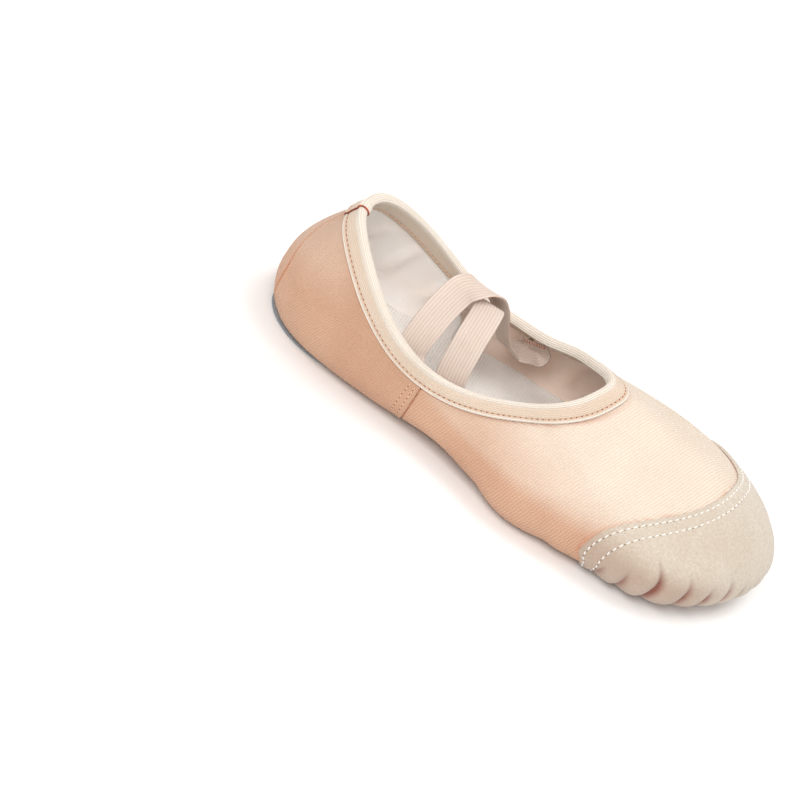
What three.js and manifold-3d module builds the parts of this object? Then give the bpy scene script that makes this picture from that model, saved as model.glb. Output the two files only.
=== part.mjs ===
// A soft-sole dance slipper: a canvas upper on two suede sole patches, with a pleated toe cap,
// a taped collar and two crossed elastic straps. Millimetres, +X to the toe, +Y to the
// wearer's left, +Z up, with the sole patches on z = 0.

import * as THREE from "three";
import { mergeVertices } from "three/addons/utils/BufferGeometryUtils.js";
import Module from "manifold-3d";

const wasm = await Module();
wasm.setup();

// The last
const length = 235;
const ballWidth = 94;
const heelWidth = 67;
const mouthWidth = 65;
const sideHeight = 35;
const instepHeight = 54;
const heelHeight = 61.5;
const bulgeHeight = 16;
const soleInset = 13;
const archRise = 3.5;

// Walls and clearances
const canvasWall = 1.6;
const suedeWall = 1.2;
const patchWall = 1.4;
const insoleWall = 1.8;
const tapeWall = 1;
const elasticWall = 1;
const gap = 0.3;
const tapeGap = 0.4;

// Sole patches
const frontPatchLength = 80;
const frontPatchWidth = 64;
const frontPatchToeMargin = 24;
const frontPatchTaper = 0.14;
const heelPatchLength = 58;
const heelPatchWidth = 48;
const heelPatchMargin = 5;
const heelPatchTaper = 0.04;
const patchSeam = 7;

// Toe cap
const capReach = 31.5;
const capSweep = 27;
const capSkew = 0.2;
const capUnderHeight = 8;
const pleatPuff = 1.2;
const pleatDepth = 0.7;
const pleatTop = 27;

// Collar tape, elastics and seams
const tapeWidth = 9;
const tapeTurn = 8.5;
const tapeRoll = 1.7;
const elasticWidth = 13;
const seamStation = 6.2;
const seamLip = 0.5;
const seamGroove = 0.6;

// One row for each place round the outline, from the toe tip along the left side to the heel.
// along, mouthAlong: distance from the heel as a share of the length.
// ball, heel: half width, as shares of half the ball width and of half the heel width.
// bulge: height of the widest line as a share of bulgeHeight.
// mouth: half width of the collar as a share of half the mouth width.
// throat, back: rise of the collar above its side height towards the instep and heel heights.
// inset: from the widest line in to the flat sole, as a share of soleInset.
// lean, drop, rise: handles of the curve from the collar down to the widest line.
const rows = [
  { along: 1.0, ball: 0, heel: 0, bulge: 1.03, mouthAlong: 0.594, mouth: 0, throat: 1, back: 0,
    inset: 1.2, lean: 0.46, drop: 0.25, rise: 0.6 },
  { along: 0.983, ball: 0.33, heel: 0, bulge: 1.02, mouthAlong: 0.583, mouth: 0.23, throat: 0.9, back: 0,
    inset: 1.17, lean: 0.45, drop: 0.25, rise: 0.6 },
  { along: 0.932, ball: 0.67, heel: 0, bulge: 0.99, mouthAlong: 0.56, mouth: 0.44, throat: 0.67, back: 0,
    inset: 1.08, lean: 0.45, drop: 0.27, rise: 0.6 },
  { along: 0.834, ball: 0.97, heel: 0, bulge: 0.88, mouthAlong: 0.52, mouth: 0.64, throat: 0.41, back: 0,
    inset: 0.94, lean: 0.46, drop: 0.27, rise: 0.6 },
  { along: 0.702, ball: 1, heel: 0, bulge: 0.87, mouthAlong: 0.474, mouth: 0.74, throat: 0.15, back: 0,
    inset: 0.95, lean: 0.45, drop: 0.28, rise: 0.56 },
  { along: 0.545, ball: 0.93, heel: 0, bulge: 0.93, mouthAlong: 0.413, mouth: 0.87, throat: 0, back: 0,
    inset: 1, lean: 0.35, drop: 0.31, rise: 0.46 },
  { along: 0.374, ball: 0.4, heel: 0.55, bulge: 0.94, mouthAlong: 0.317, mouth: 0.99, throat: 0, back: 0.06,
    inset: 0.95, lean: 0.2, drop: 0.33, rise: 0.35 },
  { along: 0.204, ball: 0, heel: 1, bulge: 0.95, mouthAlong: 0.205, mouth: 0.94, throat: 0, back: 0.42,
    inset: 0.8, lean: 0.15, drop: 0.33, rise: 0.33 },
  { along: 0.06, ball: 0, heel: 0.73, bulge: 1.09, mouthAlong: 0.106, mouth: 0.5, throat: 0, back: 0.93,
    inset: 0.72, lean: 0.3, drop: 0.3, rise: 0.4 },
  { along: 0, ball: 0, heel: 0, bulge: 1.18, mouthAlong: 0.077, mouth: 0, throat: 0, back: 1,
    inset: 0.72, lean: 0.32, drop: 0.3, rise: 0.4 },
];
const heelStation = rows.length - 1;
const stationCount = 2 * heelStation;

// Stations of the valleys between the toe cap's pleats, mirrored to the right side.
const pleatStations = [0.35, 1.05, 1.7, 2.25, 2.8, 3.5];

// The height that each side's profile has passed at these two places, from collar to spine.
const bulgeAt = 0.55;
const flatAt = 0.85;
const insoleFrom = 0.75;
const slope = 1e-3;

// The rows as lengths, closed round the shoe: toe, left side, heel, right side.
function closedRows() {
  const closed = [];
  for (let i = 0; i < stationCount; i += 1) {
    const onLeft = i <= heelStation;
    const row = rows[onLeft ? i : stationCount - i];
    const side = onLeft ? 1 : -1;
    closed.push({
      x: row.along * length,
      y: side * (row.ball * ballWidth + row.heel * heelWidth) / 2,
      z: row.bulge * bulgeHeight,
      mouthX: row.mouthAlong * length,
      mouthY: side * row.mouth * mouthWidth / 2,
      mouthZ: sideHeight + row.throat * (instepHeight - sideHeight) + row.back * (heelHeight - sideHeight),
      inset: row.inset * soleInset,
      lean: row.lean,
      drop: row.drop,
      rise: row.rise,
    });
  }
  return closed;
}

// Control values of the closed smooth curve that passes through the values.
function smoothControls(values) {
  const count = values.length;
  let controls = values.slice();
  for (let pass = 0; pass < 50; pass += 1) {
    const last = controls;
    controls = values.map((value, i) => (6 * value - last[(i + count - 1) % count] - last[(i + 1) % count]) / 4);
  }
  return controls;
}

const closed = closedRows();
const columns = {};
for (const name of Object.keys(closed[0])) {
  columns[name] = smoothControls(closed.map((row) => row[name]));
}

// All columns at a station, which counts rows from the toe and may be any number.
function rowAt(station) {
  const turn = ((station % stationCount) + stationCount) % stationCount;
  const first = Math.floor(turn);
  const t = turn - first;
  const weights = [(1 - t) ** 3, 3 * t ** 3 - 6 * t ** 2 + 4, -3 * t ** 3 + 3 * t ** 2 + 3 * t + 1, t ** 3];
  const row = {};
  for (const [name, controls] of Object.entries(columns)) {
    let sum = 0;
    for (let k = 0; k < 4; k += 1) {
      sum += weights[k] * controls[(first + k - 1 + stationCount) % stationCount];
    }
    row[name] = sum / 6;
  }
  return row;
}

// The underside rises from the patches to the arch between them.
const frontPatchEnd = length - frontPatchToeMargin - frontPatchLength;
const heelPatchEnd = heelPatchMargin + heelPatchLength;

function undersideHeight(x) {
  const t = THREE.MathUtils.clamp((x - heelPatchEnd) / (frontPatchEnd - heelPatchEnd), 0, 1);
  return patchWall + gap + archRise * (1 - Math.cos(2 * Math.PI * t)) / 2;
}

// A line under the middle of the foot, where the left and right halves of the sole meet.
const spineMargin = { heel: 20, toe: 35 };

function spinePoint(x) {
  const along = spineMargin.heel + x * (length - spineMargin.heel - spineMargin.toe) / length;
  return new THREE.Vector3(along, 0, undersideHeight(along));
}

// A point of the canvas's outer face: fall is 0 at the collar and 1 at the spine.
function facePoint(station, fall) {
  const row = rowAt(station);
  const wide = new THREE.Vector3(row.x, row.y, row.z);
  const mouth = new THREE.Vector3(row.mouthX, row.mouthY, row.mouthZ);
  if (fall <= bulgeAt) {
    const high = mouth.z - wide.z;
    const upper = mouth.clone().add(new THREE.Vector3(
      (wide.x - mouth.x) * row.lean,
      (wide.y - mouth.y) * row.lean,
      -high * row.drop,
    ));
    const lower = wide.clone().add(new THREE.Vector3(0, 0, high * row.rise));
    return new THREE.CubicBezierCurve3(mouth, upper, lower, wide).getPoint(fall / bulgeAt);
  }
  const spine = spinePoint(row.x);
  const inward = new THREE.Vector2(spine.x - wide.x, spine.y - wide.y).normalize();
  const flat = new THREE.Vector3(wide.x + inward.x * row.inset, wide.y + inward.y * row.inset, 0);
  if (fall <= flatAt) {
    const angle = (fall - bulgeAt) / (flatAt - bulgeAt) * Math.PI / 2;
    const inFrom = row.inset * (1 - Math.cos(angle));
    const height = wide.z - (wide.z - undersideHeight(flat.x)) * Math.sin(angle);
    return new THREE.Vector3(wide.x + inward.x * inFrom, wide.y + inward.y * inFrom, height);
  }
  const point = flat.lerp(spine, (fall - flatAt) / (1 - flatAt));
  point.z = undersideHeight(point.x);
  return point;
}

// The outward direction of the canvas's face.
function faceNormal(station, fall) {
  if (fall >= flatAt) {
    const { x } = facePoint(station, fall);
    const climb = (undersideHeight(x + slope) - undersideHeight(x - slope)) / (2 * slope);
    return new THREE.Vector3(climb, 0, -1).normalize();
  }
  const across = facePoint(station + slope, fall).sub(facePoint(station - slope, fall));
  const above = Math.max(fall - slope, 0);
  const below = Math.min(fall + slope, 1);
  const down = facePoint(station, below).sub(facePoint(station, above));
  return down.cross(across).normalize();
}

function offsetPoint(station, fall, distance) {
  return facePoint(station, fall).addScaledVector(faceNormal(station, fall), distance);
}

// A closed solid from rings of points. Each ring closes on itself, but for the side after the
// point named open, where the left and right halves of a wall meet.
function ringSolid(grid, open = -1) {
  const count = grid[0].length;
  const positions = [];
  const indices = [];
  for (const ring of grid) {
    for (const point of ring) {
      positions.push(point.x, point.y, point.z);
    }
  }
  for (let i = 0; i < grid.length; i += 1) {
    const next = (i + 1) % grid.length;
    for (let j = 0; j < count; j += 1) {
      if (j === open) {
        continue;
      }
      const after = (j + 1) % count;
      const a = i * count + j;
      const b = i * count + after;
      const c = next * count + after;
      const d = next * count + j;
      indices.push(a, b, c, a, c, d);
    }
  }
  return merged(positions, indices);
}

// Joins equal vertices and drops the triangles that this leaves without an area.
function merged(positions, indices) {
  const loose = new THREE.BufferGeometry();
  loose.setAttribute("position", new THREE.Float32BufferAttribute(positions, 3));
  loose.setIndex(indices);
  const joined = mergeVertices(loose, 1e-3);
  const kept = [];
  const index = joined.index.array;
  for (let i = 0; i < index.length; i += 3) {
    const [a, b, c] = [index[i], index[i + 1], index[i + 2]];
    if (a !== b && b !== c && c !== a) {
      kept.push(a, b, c);
    }
  }
  joined.setIndex(kept);
  return joined;
}

// Solids for joining and cutting
function solidOf(geometry) {
  const bare = geometry.clone();
  bare.deleteAttribute("normal");
  bare.deleteAttribute("uv");
  const joined = mergeVertices(bare, 1e-3);
  return new wasm.Manifold(new wasm.Mesh({
    numProp: 3,
    vertProperties: new Float32Array(joined.attributes.position.array),
    triVerts: new Uint32Array(joined.index.array),
  }));
}

function geometryOf(solid) {
  const mesh = solid.getMesh();
  const geometry = new THREE.BufferGeometry();
  geometry.setAttribute("position", new THREE.BufferAttribute(new Float32Array(mesh.vertProperties), 3));
  geometry.setIndex(new THREE.BufferAttribute(new Uint32Array(mesh.triVerts), 1));
  return geometry;
}

// Numbers from start to end in equal steps, both ends included.
function steps(start, end, count) {
  return Array.from({ length: count + 1 }, (_, i) => start + (end - start) * i / count);
}

// Stations round the shoe: so many to a row, with three close ones at each seam.
const seamHalf = 0.06;
const sideSeams = [seamStation, stationCount - seamStation];
const seams = [...sideSeams, heelStation];

function stationsRound(perRow) {
  const all = steps(0, stationCount, stationCount * perRow).slice(0, -1);
  const clear = all.filter((station) => seams.every((seam) => Math.abs(station - seam) > 2 * seamHalf));
  for (const seam of seams) {
    clear.push(seam - seamHalf, seam, seam + seamHalf);
  }
  return clear.sort((a, b) => a - b);
}

// A seam is a groove, and on a side seam the rear canvas stands proud beside it.
function seamRelief(station) {
  const near = seams.find((seam) => Math.abs(station - seam) < 1.5 * seamHalf);
  if (near === undefined) {
    return 0;
  }
  if (Math.abs(station - near) < seamHalf / 2) {
    return -seamGroove;
  }
  const behind = Math.abs(station - heelStation) < Math.abs(near - heelStation);
  return sideSeams.includes(near) && behind ? seamLip : 0;
}

const falls = [
  ...steps(0, bulgeAt, 9),
  ...steps(bulgeAt, flatAt, 4).slice(1),
  ...steps(flatAt, 1, 2).slice(1),
];

// A wall between two distances from the canvas's outer face.
function wallSolid(stations, heights, outer, inner) {
  const grid = stations.map((station) => [
    ...heights.map((fall) => offsetPoint(station, fall, outer(station, fall))),
    ...heights.slice().reverse().map((fall) => offsetPoint(station, fall, inner)),
  ]);
  return ringSolid(grid, heights.length - 1);
}

// An egg in plan, broad towards the toe.
function egg(start, eggLength, eggWidth, taper, shrink) {
  const points = [];
  for (const angle of steps(0, 2 * Math.PI, 44).slice(0, -1)) {
    const x = start + eggLength / 2 + (eggLength / 2 - shrink) * Math.cos(angle);
    const y = (eggWidth / 2 - shrink) * Math.sin(angle) * (1 + taper * Math.cos(angle));
    points.push(new THREE.Vector2(x, y));
  }
  return new THREE.Shape(points);
}

function frontEgg(shrink) {
  return egg(frontPatchEnd, frontPatchLength, frontPatchWidth, frontPatchTaper, shrink);
}

function heelEgg(shrink) {
  return egg(heelPatchMargin, heelPatchLength, heelPatchWidth, heelPatchTaper, shrink);
}

function plate(shape, bottom, thickness) {
  return new THREE.ExtrudeGeometry(shape, { depth: thickness, bevelEnabled: false }).translate(0, 0, bottom);
}

// Upper: one canvas wall, open at the collar and over both sole patches
function upperGeometry() {
  const relief = (station, fall) => (fall > fallAtDepth(station, tapeWidth) ? seamRelief(station) : 0);
  const wall = wallSolid(stationsRound(3), falls, relief, -canvasWall);
  const depth = patchWall + 2 * canvasWall;
  return geometryOf(
    solidOf(wall)
      .subtract(solidOf(plate(frontEgg(patchSeam), patchWall / 2, depth)))
      .subtract(solidOf(plate(heelEgg(patchSeam), patchWall / 2, depth))),
  );
}

// Toe cap: a suede layer over the canvas, gathered in pleats round the front patch
function pleatRelief(station, fall) {
  const fromToe = Math.min(station, stationCount - station);
  const height = facePoint(station, fall).z;
  const fade = THREE.MathUtils.clamp((pleatTop - height) / (pleatTop - bulgeHeight / 2), 0, 1);
  let nearest = Infinity;
  for (const valley of pleatStations) {
    nearest = Math.min(nearest, Math.abs(fromToe - valley));
  }
  const pillow = Math.min(nearest / 0.25, 1);
  const clear = THREE.MathUtils.clamp((height - 2 * patchWall) / bulgeHeight, 0, 1);
  return fade * (pleatPuff * clear * pillow - pleatDepth * (1 - pillow));
}

function capCutter() {
  const half = ballWidth / 2;
  const edge = (y) => length - capReach + capSkew * y - capSweep * (y / half) ** 2;
  const front = length + capReach;
  const curve = steps(-1.5 * half, 1.5 * half, 24).map((y) => new THREE.Vector2(edge(y), y));
  const top = [...curve, new THREE.Vector2(front, 1.5 * half), new THREE.Vector2(front, -1.5 * half)];
  const under = [
    new THREE.Vector2(edge(-half), -half),
    new THREE.Vector2(front, -half),
    new THREE.Vector2(front, half),
    new THREE.Vector2(edge(half), half),
  ];
  const above = solidOf(plate(new THREE.Shape(top), -suedeWall, heelHeight + 2 * suedeWall));
  return above.add(solidOf(plate(new THREE.Shape(under), -suedeWall, capUnderHeight + suedeWall)));
}

function toeCapGeometry() {
  const stations = steps(0, stationCount, stationCount * 6).slice(0, -1);
  const layer = wallSolid(
    stations,
    falls,
    (station, fall) => gap + suedeWall + pleatRelief(station, fall),
    gap,
  );
  return geometryOf(
    solidOf(layer)
      .intersect(capCutter())
      .subtract(solidOf(plate(frontEgg(-gap), -suedeWall, patchWall + 3 * suedeWall))),
  );
}

// Collar tape: folded over the canvas edge, down its outside and inside
function fallAtDepth(station, depth) {
  let fall = 0;
  let walked = 0;
  let last = facePoint(station, 0);
  while (walked < depth) {
    fall += slope;
    const next = facePoint(station, fall);
    walked += next.distanceTo(last);
    last = next;
  }
  return fall;
}

function tapePoint(station, depth, distance) {
  if (depth > 0) {
    return offsetPoint(station, fallAtDepth(station, depth), distance);
  }
  const down = facePoint(station, slope).sub(facePoint(station, 0)).normalize();
  return offsetPoint(station, 0, distance).addScaledVector(down, depth);
}

function tapeGeometry() {
  const outer = tapeGap + tapeWall;
  const inner = -(canvasWall + tapeGap);
  const middle = -canvasWall / 2;
  const section = [
    ...steps(tapeWidth, 0, 3).map((depth) => [depth, tapeGap]),
    [-tapeGap, tapeGap],
    [-tapeGap, inner],
    ...steps(0, tapeTurn, 3).map((depth) => [depth, inner]),
    ...steps(tapeTurn, 0, 3).map((depth) => [depth, inner - tapeWall]),
    [-tapeRoll, middle - tapeRoll / 2],
    [-tapeRoll, middle + tapeRoll / 2],
    ...steps(0, tapeWidth, 3).map((depth) => [depth, outer]),
  ];
  return ringSolid(stationsRound(3).map((station) => (
    section.map(([depth, distance]) => tapePoint(station, depth, distance))
  )));
}

// Sole patches and insole
function insoleGeometry() {
  const heights = falls.filter((fall) => fall > insoleFrom);
  const top = canvasWall + gap;
  return wallSolid(stationsRound(3), heights, () => -top, -top - insoleWall);
}

// Elastic straps: flat bands that rise from inside the collar tape, cross over the mouth and
// are sewn inside the far edge. start, end: stations, the right side's negative, and depths
// under the edge. free: along, a share of the length; across, of half the mouth width; above, the height
// over the side height as a share of it.
const frontStrap = {
  start: [{ station: -5.6, depth: 9 }, { station: -5.6, depth: 3 }],
  free: [
    { along: 0.353, across: -0.555, above: 0.33 },
    { along: 0.352, across: -0.277, above: 0.486 },
    { along: 0.35, across: -0.03, above: 0.543 },
    { along: 0.346, across: 0.123, above: 0.466 },
    { along: 0.337, across: 0.277, above: 0.286 },
    { along: 0.327, across: 0.446, above: 0.043 },
    { along: 0.319, across: 0.62, above: -0.07 },
    { along: 0.316, across: 0.76, above: -0.08 },
  ],
  end: [{ station: 6.12, depth: 8 }, { station: 6.12, depth: 14 }, { station: 6.12, depth: 21 }],
};
const rearStrap = {
  start: [{ station: -6.38, depth: 9 }, { station: -6.38, depth: 3 }],
  free: [
    { along: 0.279, across: -0.615, above: 0.286 },
    { along: 0.287, across: -0.31, above: 0.514 },
    { along: 0.297, across: -0.12, above: 0.63 },
    { along: 0.317, across: 0.03, above: 0.66 },
    { along: 0.338, across: 0.185, above: 0.585 },
    { along: 0.357, across: 0.33, above: 0.415 },
    { along: 0.374, across: 0.46, above: 0.185 },
    { along: 0.389, across: 0.555, above: -0.03 },
    { along: 0.404, across: 0.63, above: -0.215 },
    { along: 0.418, across: 0.7, above: -0.33 },
    { along: 0.431, across: 0.78, above: -0.36 },
  ],
  end: [{ station: 5.02, depth: 13.5 }, { station: 4.88, depth: 9.5 }],
};
const strapBow = 1.7;

function sewnRow({ station, depth }) {
  const distance = -(canvasWall + tapeGap + tapeWall + gap + strapBow + elasticWall / 2);
  const point = tapePoint(station, depth, distance);
  const side = tapePoint(station + seamHalf, depth, distance).sub(point);
  side.multiplyScalar(Math.sign(side.x)).normalize();
  return { point, side };
}

function strapGeometry(strap) {
  const free = strap.free.map((row) => ({
    point: new THREE.Vector3(row.along * length, row.across * mouthWidth / 2, sideHeight * (1 + row.above)),
    side: new THREE.Vector3(1, 0, 0),
  }));
  const route = [...strap.start.map(sewnRow), ...free, ...strap.end.map(sewnRow)];
  const path = new THREE.CatmullRomCurve3(route.map((row) => row.point));
  const sides = new THREE.CatmullRomCurve3(route.map((row) => row.side));
  const count = 3 * (route.length - 1);
  const rings = steps(0, 1, count).map((t) => {
    const centre = path.getPoint(t);
    const tangent = path.getTangent(t);
    const turned = sides.getPoint(t);
    const side = turned.addScaledVector(tangent, -turned.dot(tangent)).normalize();
    const face = tangent.clone().cross(side);
    const corner = (across, out) => (
      centre.clone().addScaledVector(side, across * elasticWidth / 2).addScaledVector(face, out * elasticWall / 2)
    );
    return [corner(-1, -1), corner(1, -1), corner(1, 1), corner(-1, 1)];
  });
  const positions = rings.flat().flatMap((point) => point.toArray());
  const indices = [];
  for (let i = 0; i < count; i += 1) {
    for (let j = 0; j < 4; j += 1) {
      const [a, b] = [4 * i + j, 4 * i + (j + 1) % 4];
      indices.push(a, b, b + 4, a, b + 4, a + 4);
    }
  }
  const end = 4 * count;
  indices.push(0, 2, 1, 0, 3, 2, end, end + 1, end + 2, end, end + 2, end + 3);
  return merged(positions, indices);
}

// Materials
function finish(color, roughness) {
  return new THREE.MeshStandardMaterial({ color, roughness, metalness: 0 });
}

const shoe = new THREE.Group();

function add(name, geometry, material) {
  const mesh = new THREE.Mesh(geometry, material);
  mesh.name = name;
  shoe.add(mesh);
}

add("upper", upperGeometry(), finish(0xf3d3b8, 0.9));
add("toe_cap", toeCapGeometry(), finish(0xcdb39d, 0.95));
add("collar_tape", tapeGeometry(), finish(0xf2d9bd, 0.85));
add("front_sole_patch", plate(frontEgg(0), 0, patchWall), finish(0xc9d1d3, 0.95));
add("heel_sole_patch", plate(heelEgg(0), 0, patchWall), finish(0xa9adb0, 0.95));
add("insole", insoleGeometry(), finish(0xe3e2e2, 0.9));
add("front_strap", strapGeometry(frontStrap), finish(0xf6e3d4, 0.8));
add("rear_strap", strapGeometry(rearStrap), finish(0xf6e3d4, 0.8));

// The origin is under the middle of the shoe, on the floor.
const bounds = new THREE.Box3().setFromObject(shoe);
const middle = bounds.getCenter(new THREE.Vector3());
shoe.position.set(-middle.x, -middle.y, -bounds.min.z);

export default shoe;
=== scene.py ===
"""A soft-sole dance slipper: canvas upper, pleated suede toe cap, taped collar, suede sole
patches and two crossed elastic straps. Lengths are millimetres in the shoe's own axes, with x
from the heel, y to the wearer's left and z up, and they turn to metres where a mesh is made."""
import math

import bpy
import numpy as np
from mathutils import Matrix, Vector


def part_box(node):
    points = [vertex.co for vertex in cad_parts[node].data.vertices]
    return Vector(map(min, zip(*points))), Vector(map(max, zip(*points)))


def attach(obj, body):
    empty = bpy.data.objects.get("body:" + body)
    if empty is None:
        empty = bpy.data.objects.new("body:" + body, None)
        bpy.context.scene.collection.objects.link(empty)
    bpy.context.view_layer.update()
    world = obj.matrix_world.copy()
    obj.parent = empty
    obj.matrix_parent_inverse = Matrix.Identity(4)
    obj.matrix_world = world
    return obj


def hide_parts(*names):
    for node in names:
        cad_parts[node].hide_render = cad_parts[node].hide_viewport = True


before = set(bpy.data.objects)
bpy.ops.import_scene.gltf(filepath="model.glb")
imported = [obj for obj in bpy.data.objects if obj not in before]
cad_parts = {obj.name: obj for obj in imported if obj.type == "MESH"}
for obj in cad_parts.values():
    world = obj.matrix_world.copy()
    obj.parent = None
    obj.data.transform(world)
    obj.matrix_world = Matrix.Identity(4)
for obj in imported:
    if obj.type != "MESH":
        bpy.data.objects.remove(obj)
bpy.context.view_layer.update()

MM = 0.001

# The last
LENGTH = 235.0
BALL_WIDTH = 94.0
HEEL_WIDTH = 67.0
MOUTH_WIDTH = 65.0
SIDE_HEIGHT = 35.0
INSTEP_HEIGHT = 54.0
HEEL_HEIGHT = 61.5
BULGE_HEIGHT = 16.0
SOLE_INSET = 13.0
ARCH_RISE = 3.5

# Walls and clearances
CANVAS_WALL = 1.6
SUEDE_WALL = 1.2
PATCH_WALL = 1.4
INSOLE_WALL = 1.8
TAPE_WALL = 1.0
ELASTIC_WALL = 1.0
GAP = 0.3
TAPE_GAP = 0.4

# Sole patches: margin from the end of the shoe, length, width and taper
FRONT_PATCH = {"start": 131.0, "length": 80.0, "width": 64.0, "taper": 0.14}
HEEL_PATCH = {"start": 5.0, "length": 58.0, "width": 48.0, "taper": 0.04}

# Stitch rows of the patches: inset from the edge at the toe side, and how much more at the other
FRONT_ROWS = ((3.0, 0.0), (7.0, -2.4))
HEEL_ROWS = ((3.0, 0.0), (6.0, -1.0))

# Toe cap
CAP_REACH = 31.5
CAP_SWEEP_RIGHT = 30.0
CAP_SWEEP_LEFT = 27.0
CAP_SKEW = 0.2
CAP_UNDER_HEIGHT = 8.0
CAP_EDGE_ROUND = 0.7
CAP_ROWS = (1.7, 5.7)
CAP_ROW_DIP = 0.16
PLEAT_PUFF = 0.6
PLEAT_STEEP = 1.3
PLEAT_GENTLE = 3.0
PLEAT_PILLOW = 4.0

# Collar tape, elastics and seams
TAPE_WIDTH = 9.0
TAPE_TURN = 8.5
ELASTIC_WIDTH = 13.0
SEAM_STATION = 6.2
SEAM_X = 76.8
GROOVE_WIDTH = 0.34
GROOVE_DEPTH = 0.6
LIP_AWAY = 1.2
LIP_WIDTH = 0.8
LIP_HEIGHT = 0.4
SEAM_ROWS = (2.6, 5.4)
ARCH_ROW = 2.2
BACK_SEAM_TURN = 0.55
HEEL_WEAVE = 1.2
DEEPEST_CREASE = -0.9
STRAP_BOW = 1.7

# Rows round the outline, from the toe tip along the left side to the heel.
COLUMNS = ("along", "ball", "heel", "bulge", "mouth_along", "mouth", "throat", "back",
           "inset", "lean", "drop", "rise")
ROWS = (
    (1.0, 0, 0, 1.03, 0.594, 0, 1, 0, 1.2, 0.46, 0.25, 0.6),
    (0.983, 0.33, 0, 1.02, 0.583, 0.23, 0.9, 0, 1.17, 0.45, 0.25, 0.6),
    (0.932, 0.67, 0, 0.99, 0.56, 0.44, 0.67, 0, 1.08, 0.45, 0.27, 0.6),
    (0.834, 0.97, 0, 0.88, 0.52, 0.64, 0.41, 0, 0.94, 0.46, 0.27, 0.6),
    (0.702, 1, 0, 0.87, 0.474, 0.74, 0.15, 0, 0.95, 0.45, 0.28, 0.56),
    (0.545, 0.93, 0, 0.93, 0.413, 0.87, 0, 0, 1, 0.35, 0.31, 0.46),
    (0.374, 0.4, 0.55, 0.94, 0.317, 0.99, 0, 0.06, 0.95, 0.2, 0.33, 0.35),
    (0.204, 0, 1, 0.95, 0.205, 0.94, 0, 0.42, 0.8, 0.15, 0.33, 0.33),
    (0.06, 0, 0.73, 1.09, 0.106, 0.5, 0, 0.93, 0.72, 0.3, 0.3, 0.4),
    (0, 0, 0, 1.18, 0.077, 0, 0, 1, 0.72, 0.32, 0.3, 0.4),
)
# How far the soft collar sags at the sides, by row
COLLAR_SAG = {5: 0.8, 6: 2.6, 7: 0.5}

HEEL_STATION = len(ROWS) - 1
STATIONS = 2 * HEEL_STATION
BULGE_AT = 0.55
FLAT_AT = 0.85
INSOLE_FROM = 0.75
SLOPE = 1e-3
DOWN = np.array([0.0, 0.0, -1.0])
SPINE_HEEL = 20.0
SPINE_TOE = 35.0

# The camera that the photograph was taken with, fitted to the outline and the collar
CAMERA = {"azimuth": -0.699, "elevation": 39.369, "roll": 33.558, "distance": 1280.1, "focal_px": 3151.5}
LOOK_POINT = (117.5, 0.0, 25.0)
LOOK_PX = (531.77, 400.47)
FRAME_PX = 800
SENSOR = 36.0


# Steps, bumps and lines

def smoothstep(low, high, value):
    """0 up to low and 1 from high on, with a soft rise between them."""
    t = np.clip((value - low) / (high - low), 0, 1)
    return t * t * (3 - 2 * t)


def bell(away, width):
    """A soft bump, 1 in the middle and about a third at one width from it."""
    return np.exp(-(away / width) ** 2)


def length(vectors):
    return np.linalg.norm(vectors, axis=-1)


def unit(vectors):
    return vectors / np.maximum(length(vectors)[..., None], 1e-12)


def walked(points):
    """How far along its line each point lies. The last axis but one runs along the line."""
    steps = length(np.diff(points, axis=-2))
    return np.concatenate([np.zeros_like(steps[..., :1]), np.cumsum(steps, axis=-1)], -1)


def quarter_round(share):
    """The height of a rounded edge, 0 at the edge and 1 from a share of 1 on."""
    return np.sqrt(np.clip(1 - (1 - np.clip(share, 0, 1)) ** 2, 0, 1))


def circle(count):
    return np.linspace(0, 2 * np.pi, count, endpoint=False)


def floats(*values):
    """The values as arrays of one shape."""
    return np.broadcast_arrays(*(np.asarray(value, float) for value in values))


# The form of the last

def closed_rows():
    """The rows as lengths, closed round the shoe: toe, left side, heel, right side."""
    order = [*range(HEEL_STATION + 1), *range(HEEL_STATION - 1, 0, -1)]
    row = dict(zip(COLUMNS, np.array(ROWS, float)[order].T))
    side = np.where(np.arange(STATIONS) <= HEEL_STATION, 1, -1)
    throat = row["throat"] * (INSTEP_HEIGHT - SIDE_HEIGHT)
    back = row["back"] * (HEEL_HEIGHT - SIDE_HEIGHT)
    sag = np.array([COLLAR_SAG.get(i, 0) for i in order])
    return {
        "x": row["along"] * LENGTH,
        "y": side * (row["ball"] * BALL_WIDTH + row["heel"] * HEEL_WIDTH) / 2,
        "z": row["bulge"] * BULGE_HEIGHT,
        "mouth_x": row["mouth_along"] * LENGTH,
        "mouth_y": side * row["mouth"] * MOUTH_WIDTH / 2,
        "mouth_z": SIDE_HEIGHT + throat + back - sag,
        "inset": row["inset"] * SOLE_INSET,
        "lean": row["lean"],
        "drop": row["drop"],
        "rise": row["rise"],
    }


def smooth_controls(values):
    """Control values of the closed smooth curve that passes through the values."""
    controls = values.copy()
    for _ in range(50):
        controls = (6 * values - np.roll(controls, 1) - np.roll(controls, -1)) / 4
    return controls


CONTROLS = {name: smooth_controls(values) for name, values in closed_rows().items()}


def row_at(station):
    """All columns at each station, which counts rows from the toe and may be any number."""
    turn = np.mod(station, STATIONS)
    first = np.floor(turn).astype(int)
    t = turn - first
    weights = ((1 - t) ** 3, 3 * t ** 3 - 6 * t ** 2 + 4, -3 * t ** 3 + 3 * t ** 2 + 3 * t + 1, t ** 3)
    row = {}
    for name, controls in CONTROLS.items():
        row[name] = sum(w * controls[(first + k - 1) % STATIONS] for k, w in enumerate(weights)) / 6
    return row


HEEL_PATCH_END = HEEL_PATCH["start"] + HEEL_PATCH["length"]


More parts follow.
